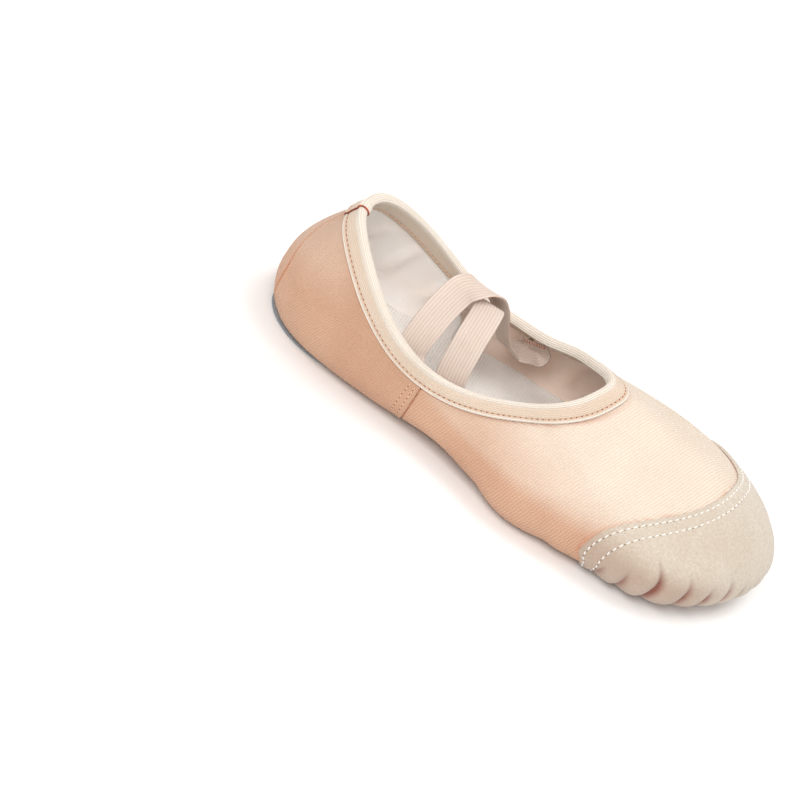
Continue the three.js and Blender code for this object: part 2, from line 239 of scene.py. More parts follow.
def underside_height(x):
    """The underside rises from the patches to the arch between them."""
    t = np.clip((x - HEEL_PATCH_END) / (FRONT_PATCH["start"] - HEEL_PATCH_END), 0, 1)
    return PATCH_WALL + GAP + ARCH_RISE * (1 - np.cos(2 * np.pi * t)) / 2


def face(station, fall):
    """Points of the canvas's outer face: fall is 0 at the collar and 1 at the spine."""
    station, fall = floats(station, fall)
    row = row_at(station)
    wide = np.stack([row["x"], row["y"], row["z"]], -1)
    mouth = np.stack([row["mouth_x"], row["mouth_y"], row["mouth_z"]], -1)
    upper = mouth + (wide - mouth) * np.stack([row["lean"], row["lean"], row["drop"]], -1)
    lower = wide + (wide - mouth) * DOWN * row["rise"][..., None]
    t = np.clip(fall / BULGE_AT, 0, 1)[..., None]
    wall = (1 - t) ** 3 * mouth + 3 * t * (1 - t) ** 2 * upper + 3 * t * t * (1 - t) * lower + t ** 3 * wide

    spine_x = SPINE_HEEL + row["x"] * (LENGTH - SPINE_HEEL - SPINE_TOE) / LENGTH
    spine = np.stack([spine_x, 0 * spine_x], -1)
    inward = unit(spine - wide[..., :2])
    flat = wide[..., :2] + inward * row["inset"][..., None]
    angle = np.clip((fall - BULGE_AT) / (FLAT_AT - BULGE_AT), 0, 1) * np.pi / 2
    turn = wide.copy()
    turn[..., :2] += inward * (row["inset"] * (1 - np.cos(angle)))[..., None]
    turn[..., 2] -= (row["z"] - underside_height(flat[..., 0])) * np.sin(angle)

    share = np.clip((fall - FLAT_AT) / (1 - FLAT_AT), 0, 1)[..., None]
    under_xy = flat + (spine - flat) * share
    under = np.concatenate([under_xy, underside_height(under_xy[..., :1])], -1)
    fall = fall[..., None]
    return np.where(fall <= BULGE_AT, wall, np.where(fall <= FLAT_AT, turn, under))


def ring_step(station, fall):
    """How the face moves along its ring as the station grows by one."""
    return (face(station + SLOPE, fall) - face(station - SLOPE, fall)) / (2 * SLOPE)


def face_normal(station, fall):
    """The outward direction of the canvas's face."""
    station, fall = floats(station, fall)
    down = face(station, np.minimum(fall + SLOPE, 1)) - face(station, np.maximum(fall - SLOPE, 0))
    wall = unit(np.cross(down, ring_step(station, fall)))
    x = face(station, fall)[..., 0]
    climb = (underside_height(x + SLOPE) - underside_height(x - SLOPE)) / (2 * SLOPE)
    under = unit(np.stack([climb, 0 * climb, 0 * climb - 1], -1))
    return np.where(fall[..., None] >= FLAT_AT, under, wall)


def offset(station, fall, distance):
    distance = np.asarray(distance, float)
    return face(station, fall) + face_normal(station, fall) * distance[..., None]


def signed(station):
    """Stations as 0 to 9 on the left side and 0 to -9 on the right."""
    turn = np.mod(np.asarray(station, float), STATIONS)
    return np.where(turn > HEEL_STATION, turn - STATIONS, turn)


def station_length(station, fall=BULGE_AT):
    """Millimetres round the shoe for each station, on the widest line unless a fall is given."""
    return length(ring_step(station, fall))


DEPTH_STEP = 0.25
DEPTH_STATION_STEP = 0.05
DEEPEST = 40


def depth_table():
    """The fall at each depth below the collar's edge, by steps of station and of depth."""
    stations = np.arange(0, STATIONS + 2 * DEPTH_STATION_STEP, DEPTH_STATION_STEP)
    falls = np.linspace(0, BULGE_AT, 551)
    depths = np.arange(0, DEEPEST, DEPTH_STEP)
    lines = face(stations[:, None], falls[None])
    return np.array([np.interp(depths, line, falls) for line in walked(lines)])


DEPTH_TABLE = depth_table()


def fall_at_depth(station, depth):
    """The fall at each depth below the collar's edge."""
    station, depth = floats(station, depth)
    row = np.mod(station, STATIONS) / DEPTH_STATION_STEP
    column = np.clip(depth / DEPTH_STEP, 0, DEPTH_TABLE.shape[1] - 1.001)
    i, j = row.astype(int), column.astype(int)
    a, b = row - i, column - j
    near = DEPTH_TABLE[i, j] * (1 - b) + DEPTH_TABLE[i, j + 1] * b
    far = DEPTH_TABLE[i + 1, j] * (1 - b) + DEPTH_TABLE[i + 1, j + 1] * b
    return near * (1 - a) + far * a


def tape_point(station, depth, distance):
    """Points beside the canvas, by depth below its top edge and distance from its outer face."""
    station, depth, distance = floats(station, depth, distance)
    points = offset(station, fall_at_depth(station, np.maximum(depth, 0)), distance)
    down = unit(face(station, SLOPE) - face(station, 0))
    return points + down * np.minimum(depth, 0)[..., None]


# Meshes

patch_low, patch_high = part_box("front_sole_patch")
SHIFT = np.array([
    patch_low.x / MM - FRONT_PATCH["start"],
    (patch_low.y + patch_high.y) / 2 / MM,
    patch_low.z / MM,
])


def weld(points, faces):
    """Joins points that lie together and drops faces that this leaves without an area."""
    keys = np.round(points * 2000).astype(np.int64)
    _, first, which = np.unique(keys, axis=0, return_index=True, return_inverse=True)
    which = which.ravel()
    kept, corners = [], []
    for ids in faces:
        new, old = [], []
        for i in ids:
            if which[i] not in new:
                new.append(which[i])
                old.append(i)
        if len(new) > 2:
            kept.append(new)
            corners.extend(old)
    return points[first], kept, first, np.array(corners)


def add_object(name, data):
    made = bpy.data.objects.new(name, data)
    bpy.context.scene.collection.objects.link(made)
    return made


def make_piece(name, points, faces, material, stands_for=(), weave=None, shade=None, extra=None):
    """A smooth mesh piece. weave gives each point its cloth place in mm, shade the painted shade of
    creases, grooves and edges, and how far the colour turns towards painted shade on steep sides (on the
    lining, towards the forefoot panel's own colour), and extra a second material and its points."""
    points = np.asarray(points, float).reshape(-1, 3)
    kept_points, kept_faces, first, corners = weld(points, faces)
    mesh = bpy.data.meshes.new(name)
    mesh.from_pydata(((kept_points + SHIFT) * MM).tolist(), [], kept_faces)
    mesh.polygons.foreach_set("use_smooth", np.ones(len(mesh.polygons), bool))
    if weave is not None:
        layer = mesh.uv_layers.new(name="weave")
        places = np.asarray(weave, float).reshape(-1, 2)[corners]
        layer.data.foreach_set("uv", places.astype(np.float32).ravel())
    if shade is not None:
        values = np.zeros((len(first), 4), np.float32)
        values[:, :2] = np.asarray(shade, float).reshape(-1, 2)[first]
        values[:, 3] = 1
        mesh.color_attributes.new("shade", "FLOAT_COLOR", "POINT").data.foreach_set("color", values.ravel())
    mesh.materials.append(material)
    if extra is not None:
        mesh.materials.append(extra[0])
        inside = extra[1][first]
        for polygon in mesh.polygons:
            if inside[list(polygon.vertices)].all():
                polygon.material_index = 1
    made = add_object(name, mesh)
    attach(made, "root")
    if stands_for:
        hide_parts(*stands_for)


def tube_faces(rings, count, closed=False, open_side=None, ends=False):
    """Quads between rings of points. open_side is the ring side left out, and ends closes a
    tube of rings that each close on themselves."""
    faces = []
    last = rings if closed else rings - 1
    for i in range(last):
        here = i * count
        there = ((i + 1) % rings) * count
        for j in range(count):
            if j == open_side:
                continue
            after = (j + 1) % count
            faces.append((here + j, here + after, there + after, there + j))
    if ends:
        faces.append(tuple(range(count - 1, -1, -1)))
        faces.append(tuple((rings - 1) * count + j for j in range(count)))
    return faces


# Rings of the dark bead that stands for the painted shade in a needle hole: share of its width, and level
# in its height
HOLE_RINGS = ((1.0, -0.5), (0.7, 0.3), (0.25, 0.5))
LOOK_AHEAD = 0.4


def point_at(place, walk, values):
    """The values that far along a line."""
    return np.array([np.interp(place, walk, column) for column in values.T])


class Sewing:
    """Threads, and dark beads of painted shade for their needle holes, gathered into one mesh of each kind.
    """

    def __init__(self):
        self.parts = {"thread": ([], []), "hole_shade": ([], [])}

    def bead(self, kind, rings, sides=6):
        """A closed bead from rings, each given as its middle and two half axes."""
        points, faces = self.parts[kind]
        start = len(points)
        for middle, a, b in rings:
            points.extend(middle + a * math.cos(angle) + b * math.sin(angle) for angle in circle(sides))
        faces.extend(tuple(start + i for i in ids) for ids in tube_faces(len(rings), sides, ends=True))

    def row(self, line, normals, pitch, long, thick, sink, turn=0.0, hole_shade=0.55, high=0.16):
        """Short rounded threads along a line, sunk into the cloth, with dark beads of painted shade for
        needle holes between them.
        """
        walk = walked(line)
        count = max(int(walk[-1] / pitch), 1)
        normals = np.broadcast_to(normals, line.shape)
        for place in (np.arange(count) + 0.5) * walk[-1] / count:
            centre = point_at(place, walk, line)
            up = unit(point_at(place, walk, normals))
            ahead, behind = (point_at(place + step, walk, line) for step in (LOOK_AHEAD, -LOOK_AHEAD))
            tangent = unit(ahead - behind)
            side = unit(np.cross(up, tangent))
            tangent = tangent * math.cos(turn) + side * math.sin(turn)
            side = unit(np.cross(up, tangent))
            thread = []
            for t in np.linspace(-1, 1, 5):
                wide = thick / 2 * math.sqrt(max(1 - 0.92 * t * t, 0.05))
                rise = thick / 2 * (1 - t * t) - sink
                thread.append((centre + tangent * (t * long / 2) + up * rise, side * wide, up * wide))
            self.bead("thread", thread)
            if hole_shade > 0:
                middle = centre + tangent * (pitch / 2)
                long_axis, short_axis = tangent * hole_shade * 0.65, side * hole_shade * 0.5
                self.bead("hole_shade", [(middle + up * (high * level), long_axis * share, short_axis * share)
                                   for share, level in HOLE_RINGS])

    def finish(self, name, thread, hole_shade, slot):
        for kind, material in (("thread", thread), ("hole_shade", hole_shade)):
            points, faces = self.parts[kind]
            if points:
                make_piece(f"{name}_{kind}s", points, faces, material)


# Materials

class Graph:
    """A material whose nodes are made by short calls. A number, colour or socket may be given
    wherever a call takes an input."""

    def __init__(self, name, **values):
        self.material = bpy.data.materials.new(name)
        self.material.use_nodes = True
        self.tree = self.material.node_tree
        self.shader = self.tree.nodes["Principled BSDF"]
        for socket, value in values.items():
            self.shader.inputs[socket.replace("_", " ")].default_value = value

    def node(self, kind, *inputs, **settings):
        made = self.tree.nodes.new(kind)
        for name, value in settings.items():
            setattr(made, name, value)
        for place, value in inputs:
            self.give(made.inputs[place], value)
        return made

    def give(self, socket, value):
        if isinstance(value, bpy.types.NodeSocket):
            self.tree.links.new(value, socket)
        else:
            socket.default_value = value

    def math(self, operation, a, b=0.0, c=0.0):
        return self.node("ShaderNodeMath", (0, a), (1, b), (2, c), operation=operation).outputs[0]

    def pair(self, socket):
        split = self.node("ShaderNodeSeparateXYZ", (0, socket))
        return split.outputs[0], split.outputs[1]

    def places(self):
        """The place on the cloth in mm."""
        return self.pair(self.node("ShaderNodeUVMap", uv_map="weave").outputs[0])

    def shade(self):
        """The painted shade of creases, grooves and edges, and how far the colour turns towards painted
        shade on steep sides, or on the lining towards the forefoot panel's own colour.
        """
        return self.pair(self.node("ShaderNodeAttribute", attribute_name="shade").outputs[0])

    def noise(self, scale, detail=2.0, rough=0.5, stretch=(1, 1, 1)):
        where = self.node("ShaderNodeTexCoord").outputs["Object"]
        mapped = self.node("ShaderNodeMapping", (0, where), (3, stretch)).outputs[0]
        return self.node("ShaderNodeTexNoise", (0, mapped), ("Scale", scale), ("Detail", detail),
                         ("Roughness", rough)).outputs[0]

    def wave(self, place, pitch, phase=0.0):
        """A wave from 0 to 1 along a place in mm."""
        turn = self.math("MULTIPLY_ADD", place, 2 * math.pi / pitch, phase)
        return self.math("MULTIPLY_ADD", self.math("SINE", turn), 0.5, 0.5)

    def mix(self, share, a, b):
        """Screen colours, 0 to 255, or colour sockets, mixed."""
        made = self.node("ShaderNodeMix", data_type="RGBA")
        self.give(made.inputs[0], share)
        for place, colour in ((6, a), (7, b)):
            given = isinstance(colour, bpy.types.NodeSocket)
            self.give(made.inputs[place], colour if given else (*linear(colour), 1))
        return made.outputs[2]

    def span(self, value, low, high, to_low=0.0, to_high=1.0):
        ends = ((1, low), (2, high), (3, to_low), (4, to_high))
        return self.node("ShaderNodeMapRange", (0, value), *ends).outputs[0]

    def clouds(self, scale, detail, a, b):
        """A colour that drifts between two in soft clouds."""
        return self.mix(self.span(self.noise(scale, detail), 0.3, 0.7), a, b)

    def finish(self, colour, roughness, *layers):
        """The material, with its relief in layers of a height from 0 to 1 and a depth in mm."""
        self.give(self.shader.inputs["Base Color"], colour)
        self.give(self.shader.inputs["Roughness"], roughness)
        below = self.shader.inputs["Normal"]
        for height, depth in reversed(layers):
            bump = self.node("ShaderNodeBump", ("Distance", depth * MM), ("Height", height))
            self.give(below, bump.outputs[0])
            below = bump.inputs["Normal"]
        return self.material


def linear(screen):
    """A screen colour, 0 to 255, as linear light."""
    return tuple(((c / 255 + 0.055) / 1.055) ** 2.4 if c > 10 else c / 255 / 12.92 for c in screen)


# Pitches of the weaves
CANVAS_RIB = 1.3
CANVAS_PICK = 1.2
LINING_THREAD = 0.8
TAPE_RIB = 0.86
TAPE_PICK = 0.7
FELT_DOT = 1.3
ELASTIC_PICK = 0.55


def canvas_material():
    g = Graph("canvas", Sheen_Weight=0.15, Sheen_Roughness=0.4, Specular_IOR_Level=0.15)
    u, v = g.places()
    crease_shade, turn = g.shade()
    u = g.math("MULTIPLY_ADD", g.noise(60, 2), 1.2, u)
    v = g.math("MULTIPLY_ADD", g.noise(70, 2), 1.0, v)
    line = g.math("FLOOR", g.math("DIVIDE", u, CANVAS_RIB))
    dots = g.wave(g.math("MULTIPLY_ADD", line, CANVAS_PICK / 2, v), CANVAS_PICK)
    ribs = g.wave(u, CANVAS_RIB, -math.pi / 2)
    weave = g.math("MULTIPLY", ribs, g.math("MULTIPLY_ADD", dots, 0.75, 0.25))
    weave = g.math("MULTIPLY", weave, g.math("MULTIPLY_ADD", g.noise(420, 2, 0.6), 0.8, 0.6))
    base = g.clouds(45, 3, (232, 224, 212), (238, 232, 222))
    # deep is painted shade for the canvas's steep sides and heel, mixed in where turn is high
    deep = g.clouds(45, 3, (207, 168, 142), (217, 181, 155))
    base = g.mix(turn, base, deep)
    gaps = g.span(weave, 0.75, 0.0, 0.0, 1.0)
    # the weave's gaps, darker still with the painted shade on the steep sides
    shadow = g.mix(turn, (216, 184, 154), (180, 124, 92))
    base = g.mix(g.math("MULTIPLY", gaps, g.span(turn, 0, 1, 0.66, 0.5)), base, shadow)
    # painted shade in the seam grooves, under the tape's lip and along the cap's edge
    base = g.mix(crease_shade, base, (190, 95, 45))
    height = g.math("MULTIPLY_ADD", g.noise(1900, 2), 0.3, weave)
    return g.finish(base, g.span(weave, 0, 1, 0.95, 0.82), (height, 0.3))


def lining_material():
    g = Graph("lining", Sheen_Weight=0.2, Specular_IOR_Level=0.15)
    crease_shade, turn = g.shade()
    u, v = g.places()
    threads = g.math("MULTIPLY", g.wave(u, LINING_THREAD), g.wave(v, LINING_THREAD))
    stain = g.span(g.noise(50, 3), 0.4, 0.7, 0.0, 0.3)
    # turn here is the forefoot panel's own peach colour
    base = g.mix(turn, (255, 253, 250), (255, 236, 222))
    base = g.mix(stain, base, (250, 222, 204))
    # painted shade on the lining's folds
    base = g.mix(crease_shade, base, (214, 140, 105))
    return g.finish(base, 0.9, (g.noise(170, 4), 0.35), (threads, 0.08))


def tape_material():
    g = Graph("tape", Sheen_Weight=0.3, Specular_IOR_Level=0.2)
    u, v = g.places()
    crease_shade, turn = g.shade()
    ribs = g.wave(v, TAPE_RIB)
    weave = g.math("MULTIPLY_ADD", g.wave(u, TAPE_PICK), 0.4, ribs)
    base = g.clouds(55, 3, (234, 226, 213), (241, 235, 225))
    # painted shade on the tape's flat face and inner side; the roll and the lower lip stay light
    base = g.mix(turn, base, (213, 184, 156))
    base = g.mix(g.math("MULTIPLY", g.math("SUBTRACT", 1.0, ribs), 0.42), base, (202, 168, 138))
    # painted shade in the stitch grooves and the dip below the roll, and painted shadow under the lapping
    # end
    base = g.mix(crease_shade, base, (176, 78, 40))
    return g.finish(base, 0.88, (weave, 0.2), (g.noise(1500, 2), 0.12))


def suede_material(name, light, dark, deep, valley_shade, wear=0.2):
    g = Graph(name, Sheen_Weight=0.35, Sheen_Roughness=0.6, Specular_IOR_Level=0.1)
    crease_shade, turn = g.shade()
    grain = g.noise(900, 3, 0.7)
    base = g.clouds(38, 4, dark, light)
    base = g.mix(g.span(grain, 0.35, 0.65, 0.0, wear), base, deep)
    # painted shade on steep sides
    base = g.mix(turn, base, deep)
    # painted shade in the pleat valleys and on the patches' rounded edges
    base = g.mix(crease_shade, base, valley_shade)
    nap = g.noise(2600, 2, 0.6, (1, 1.6, 1))
    return g.finish(base, 0.97, (grain, 0.35), (nap, 0.2))


def insole_material():
    g = Graph("insole_felt", Sheen_Weight=0.2, Specular_IOR_Level=0.1)
    u, v = g.places()
    dots = g.math("MULTIPLY", g.wave(u, FELT_DOT), g.wave(v, FELT_DOT))
    holes = g.span(dots, 0.55, 0.8)
    base = g.clouds(80, 3, (243, 238, 233), (252, 248, 243))
    base = g.mix(g.math("MULTIPLY", holes, 0.3), base, (205, 198, 194))
    felt = g.math("SUBTRACT", 1.0, holes)
    return g.finish(base, 0.92, (felt, 0.25), (g.noise(1500, 2), 0.15))


def elastic_material():
    g = Graph("elastic", Sheen_Weight=0.2, Specular_IOR_Level=0.3)
    cross = g.wave(g.places()[0], ELASTIC_PICK)
    crease_shade = g.shade()[0]
    base = g.clouds(70, 2, (214, 200, 189), (222, 210, 200))
    # painted shade in the grooves between the ribs
    base = g.mix(crease_shade, base, (206, 166, 143))
    return g.finish(base, 0.72, (cross, 0.12), (g.noise(1600, 2), 0.08))


def thread_material(name, colour, dark):
    g = Graph(name, Specular_IOR_Level=0.25, Sheen_Weight=0.2)
    ply = g.noise(1400, 2, 0.6)
    base = g.mix(g.span(ply, 0.3, 0.7), dark, colour)
    return g.finish(base, 0.7, (ply, 0.15))


CANVAS = canvas_material()
LINING = lining_material()
TAPE = tape_material()
CAP_SUEDE = suede_material(
    "cap_suede", (215, 205, 189), (205, 193, 176), (162, 130, 110), (140, 82, 64), 0.3)
SOLE_SUEDE = suede_material(
    "sole_suede", (203, 214, 217), (190, 202, 206), (150, 164, 170), (92, 100, 104))
HEEL_SUEDE = suede_material(
    "heel_suede", (172, 178, 182), (156, 162, 166), (105, 108, 112), (62, 64, 68))
FELT = insole_material()
ELASTIC = elastic_material()
WHITE_THREAD = thread_material("white_thread", (255, 255, 252), (225, 222, 214))
TAPE_THREAD = thread_material("tape_thread", (238, 205, 172), (216, 170, 132))
TACK_THREAD = thread_material("tack_thread", (214, 130, 100), (190, 95, 70))
# dark beads painted as the shade in needle holes
HOLE_SHADE = thread_material("needle_hole_shade", (140, 72, 52), (110, 50, 38))
GREY_HOLE_SHADE = thread_material("grey_hole_shade", (112, 100, 92), (86, 76, 70))


# Canvas upper

def close_stations(per_row, seams):
    """Stations round the shoe, with close ones at each seam."""
    steps = np.linspace(0, STATIONS, STATIONS * per_row, endpoint=False)
    beside = np.array([0.005, 0.011, 0.018, 0.027, 0.04, 0.06, 0.09])
    stations = [s for s in steps if all(abs(s - seam) > 0.1 for seam in seams)]
    for seam in seams:
        stations.extend([seam, *(seam - beside), *(seam + beside)])
    return np.array(sorted(stations))


SIDE_SEAMS = (SEAM_STATION, STATIONS - SEAM_STATION)
SEAMS = (*SIDE_SEAMS, HEEL_STATION)

# Pleats of the toe cap: station at the patch, height where it ends, depth, and how far it leans.
PLEATS = (
    (-3.68, 20, 1.5, 0.05), (-3.35, 24, 1.6, 0.0), (-2.98, 31, 2.6, 0.08), (-2.5, 30, 2.0, 0.07),
    (-2.1, 25, 2.6, 0.07), (-1.68, 31, 1.8, 0.06), (-1.28, 25, 2.4, 0.07), (-0.75, 24, 1.7, 0.0),
    (-0.3, 27, 1.4, 0.0), (0.35, 24, 1.5, 0.0), (1.05, 29, 2.3, 0.0), (1.7, 26, 1.6, 0.0),
    (2.25, 31, 2.6, 0.0), (2.8, 28, 1.7, 0.0), (3.3, 22, 1.5, 0.0),
)

# Soft troughs and ridges of the canvas: from and to as station and fall, half width, height.
CANVAS_CREASES = (
    ((-5.3, 0.57), (-4.4, 0.6), 17.0, 6.2),
    ((9.1, 0.56), (9.9, 0.6), 12.0, -2.2),
    ((-4.25, 0.36), (-4.2, 0.62), 4.5, 1.3),
    ((-4.0, 0.42), (-4.0, 0.62), 2.0, -1.0),
    ((-4.75, 0.3), (-4.6, 0.6), 6.0, -0.8),
    ((-5.5, 0.25), (-5.3, 0.6), 7.0, -0.7),
    ((-6.5, 0.3), (-6.4, 0.6), 5.0, -0.6),
    ((-7.6, 0.1), (-7.0, 0.3), 4.0, -0.5),
    ((-8.2, 0.12), (-7.9, 0.45), 5.0, -0.5),
    ((-5.0, 0.1), (-4.2, 0.12), 5.0, -0.4),
    ((4.1, 0.35), (4.1, 0.62), 4.5, 1.0),
    ((4.9, 0.3), (4.7, 0.6), 7.0, -0.8),
    ((5.6, 0.25), (5.5, 0.6), 6.0, -0.6),
    ((7.5, 0.15), (7.2, 0.45), 5.0, -0.6),
    ((8.3, 0.15), (8.1, 0.45), 5.0, -0.5),
)
LINING_CREASES = (
    ((3.7, 0.2), (4.6, 0.62), 3.2, 2.4),
    ((4.25, 0.2), (5.0, 0.6), 3.0, 2.0),
    ((4.9, 0.2), (5.3, 0.62), 3.4, 2.2),
    ((5.5, 0.24), (5.7, 0.6), 3.0, 1.8),
    ((3.2, 0.16), (3.9, 0.5), 3.4, 2.0),
    ((2.5, 0.14), (3.0, 0.45), 4.0, 1.6),
    ((6.4, 0.24), (6.8, 0.6), 3.2, 1.8),
    ((7.1, 0.2), (7.3, 0.56), 3.0, 1.8),
    ((7.6, 0.24), (8.0, 0.6), 2.6, 1.6),
    ((8.1, 0.2), (8.5, 0.5), 2.8, 1.5),
    ((-8.4, 0.2), (-8.3, 0.55), 4.0, 1.0),
    ((-7.3, 0.2), (-7.2, 0.55), 4.0, 1.0),
    ((-5.0, 0.2), (-4.9, 0.55), 5.0, 1.2),
)


def crease_relief(points, creases):
    """Soft troughs and ridges, each along a line between two places on the face."""
    relief = np.zeros(points.shape[:-1])
    for start, end, width, height in creases:
        a = face(*start)
        line = face(*end) - a
        t = np.clip(((points - a) @ line) / (line @ line), 0, 1)
        away = length(points - a - t[..., None] * line)
        relief += height * bell(away, width) * np.sin(np.pi * (0.15 + 0.7 * t))
    return relief


def cap_edge(y):
    """The cap's edge over the foot in plan: it sweeps back later on the left side."""
    share = y / (BALL_WIDTH / 2)
    sweep = np.where(y < 0, CAP_SWEEP_RIGHT * share ** 2, CAP_SWEEP_LEFT * np.abs(share) ** 3)
    return LENGTH - CAP_REACH + CAP_SKEW * y - sweep


def past_cap_edge(points):
    """Distance in plan from the toe cap's edge, positive on the cap."""
    y = points[..., 1]
    tilt = (cap_edge(y + SLOPE) - cap_edge(y - SLOPE)) / (2 * SLOPE)
    high = (points[..., 0] - cap_edge(y)) / np.sqrt(1 + tilt ** 2)
    chord = LENGTH - CAP_REACH - CAP_SWEEP_LEFT + CAP_SKEW * y
    low = (points[..., 0] - chord) / math.sqrt(1 + CAP_SKEW ** 2)
    under = smoothstep(CAP_UNDER_HEIGHT + 4, CAP_UNDER_HEIGHT - 2, points[..., 2])
    return high + (low - high) * under


def pleat_relief(station, fall):
    """Relief of the gathered cap: sharp valleys, steep on one side, between soft pillows."""
    here = signed(station)
    points = face(station, fall)
    height = points[..., 2]
    local = station_length(station, fall)
    narrow = np.clip(local / np.maximum(station_length(station), 1e-6), 0.25, 1)
    valleys = np.zeros(here.shape)
    pillow = np.ones(here.shape)
    for place, top, depth, lean in PLEATS:
        centre = place + lean * (height - 6) / 12
        away = (here - centre) * local / narrow
        fade = smoothstep(top, top * 0.4, height)
        steep, gentle = np.abs(away / PLEAT_STEEP) ** 1.5, np.abs(away / PLEAT_GENTLE) ** 1.3
        valleys = np.minimum(valleys, -depth * fade * np.exp(-np.where(away < 0, steep, gentle)))
        pillow = np.minimum(pillow, 1 - bell(away, PLEAT_PILLOW) * fade)
    valleys = valleys * (0.35 + 0.65 * smoothstep(0.88, 0.72, fall))
    on_cap = smoothstep(0, 9, past_cap_edge(points))
    soft = smoothstep(30, 12, height) * smoothstep(2 * PATCH_WALL, BULGE_HEIGHT * 0.8, height)
    return on_cap * (valleys + PLEAT_PUFF * soft * pillow)


def seam_shift(fall, seam):
    """How far a seam strays from its station: the side seams keep one x and the back seam
    turns to the right as it goes down."""
    if seam == HEEL_STATION:
        return BACK_SEAM_TURN * smoothstep(0.12, BULGE_AT, fall)
    ring = np.linspace(SEAM_STATION - 0.8, SEAM_STATION + 0.8, 60)
    few = np.linspace(0, 1, 101)
    x = face(ring[None], few[:, None])[..., 0]
    places = np.array([np.interp(-SEAM_X, -line, ring) for line in x])
    shift = np.interp(fall, few, places) - SEAM_STATION
    return shift if seam < HEEL_STATION else -shift


def past_station(station, seam):
    """Stations past a seam, counted the short way round the shoe."""
    return np.mod(station - seam + HEEL_STATION, STATIONS) - HEEL_STATION


def with_seams(station, fall):
    """Stations moved so that the close ones follow the seams."""
    shifts = [seam_shift(fall, seam) * bell(past_station(station, seam), 0.85) for seam in SEAMS]
    return station + sum(shifts)


def seam_distance(station, fall, seam):
    """Millimetres past a seam, positive towards the heel."""
    away = past_station(station - seam_shift(fall, seam), seam)
    return away * float(station_length(seam)) * (-1 if seam > HEEL_STATION else 1)


def seam_relief(station, fall):
    """Relief of the side seams, the back seam and the seam of the arch, and the painted shade in their
    grooves.
    """
    points = face(station, fall)
    below = smoothstep(0.0, 0.03, fall - fall_at_depth(station, TAPE_WIDTH))
    near_tape = smoothstep(TAPE_WIDTH * 1.5, TAPE_WIDTH, length(points - face(station, 0)))
    away = seam_distance(station, fall, HEEL_STATION)
    relief = below * (0.3 * bell(np.abs(away) - 1.6, 1.2) - GROOVE_DEPTH * bell(away, 0.4))
    # painted shade in the back seam's groove
    dark = 0.9 * bell(away, 0.42) * below
    for seam in SIDE_SEAMS:
        away = seam_distance(station, fall, seam)
        groove, lip = bell(away, GROOVE_WIDTH), bell(away - LIP_AWAY, LIP_WIDTH)
        seam_wedge_shade = near_tape * bell(away, 0.6)
        relief += below * (LIP_HEIGHT * lip - GROOVE_DEPTH * groove)
        # painted shade in each side seam's groove and in a wedge where it meets the tape
        dark = np.maximum(dark, np.maximum(0.5 * groove, 0.8 * seam_wedge_shade) * below)
        # the painted shade stays off the seam's lip
        dark = np.minimum(dark, 1 - 0.9 * lip * below) - 0.3 * lip * below
    # the middle seam of the underside: a groove with painted shade
    middle = (fall > FLAT_AT) * bell(points[..., 1], 0.5)
    return relief - 0.5 * middle, np.maximum(dark, 0.7 * middle)


def weave_places(station, fall, points):
    """Places on the cloth in mm. The front panel lies straight over the foot, a little skewed,
    and the heel panels wrap round the heel."""
    here = signed(station)
    side = np.where(here < 0, -1.0, 1.0)
    line = face(0.0, np.linspace(0, BULGE_AT, 60))
    crest = np.interp(points[..., 0], line[:, 0], line[:, 2])
    wide_y = np.abs(face(station, BULGE_AT)[..., 1])
    across = np.abs(points[..., 1])
    down = np.where(fall > BULGE_AT, 2 * wide_y - across, across) + np.maximum(crest - points[..., 2], 0)
    front = np.stack([points[..., 0] - 0.3 * side * down, side * down], -1)

    ring = np.linspace(0, HEEL_STATION, 400)
    around = np.interp(np.abs(here), ring, walked(face(ring, BULGE_AT)))
    drop = HEEL_HEIGHT - points[..., 2] + np.where(fall > BULGE_AT, wide_y - across, 0)
    heel = np.stack([around - 0.35 * drop, drop], -1)
    behind_seam = np.abs(here) > SEAM_STATION + seam_shift(fall, SEAM_STATION)
    return np.where(behind_seam[..., None], heel * HEEL_WEAVE, front)


def wall_falls(wall, turn, under):
    """So many falls down the wall, round the turn and along the underside."""
    low = np.linspace(BULGE_AT, FLAT_AT, turn)[1:]
    return np.concatenate([np.linspace(0, BULGE_AT, wall), low, np.linspace(FLAT_AT, 1, under)[1:]])


def outer_cloth(stations, falls):
    """Points, painted shade and weave places of the canvas outside."""
    s, f = np.meshgrid(stations, falls, indexing="ij")
    s = with_seams(s, f)
    seams, dark = seam_relief(s, f)
    base = face(s, f)
    under_cap = np.minimum(pleat_relief(s, f), 0)
    calm = smoothstep(0.0, 0.06, f - fall_at_depth(s, TAPE_WIDTH)) * smoothstep(0.84, 0.7, f)
    relief = seams + under_cap + np.maximum(crease_relief(base, CANVAS_CREASES) * calm, DEEPEST_CREASE)
    points = base + face_normal(s, f) * relief[..., None]
    # painted shadow: a thin dark line just under the tape's lip
    under_lip = TAPE_WIDTH * tape_width_share(s) + 0.35
    near_tape = 0.4 * bell(f - fall_at_depth(s, under_lip), 0.004)
    # painted shade along the canvas's step at the cap's edge, stronger on the far side
    far_end = 0.3 + 0.6 * smoothstep(15, 28, base[..., 1])
    cap_step_shade = far_end * bell(past_cap_edge(base) + 0.3, 0.45) * (np.abs(signed(s)) < 4.2)
    # painted shade: steep sides and the heel darker
    steep = smoothstep(0.9, 0.15, face_normal(s, f)[..., 2])
    heel_shade = smoothstep(3.2, 5.6, np.abs(signed(s)))
    dark = np.maximum.reduce([dark, near_tape, cap_step_shade])
    shade = np.stack([dark, np.maximum(steep, 0.75 * heel_shade)], -1)
    return points, shade, weave_places(s, f, base)


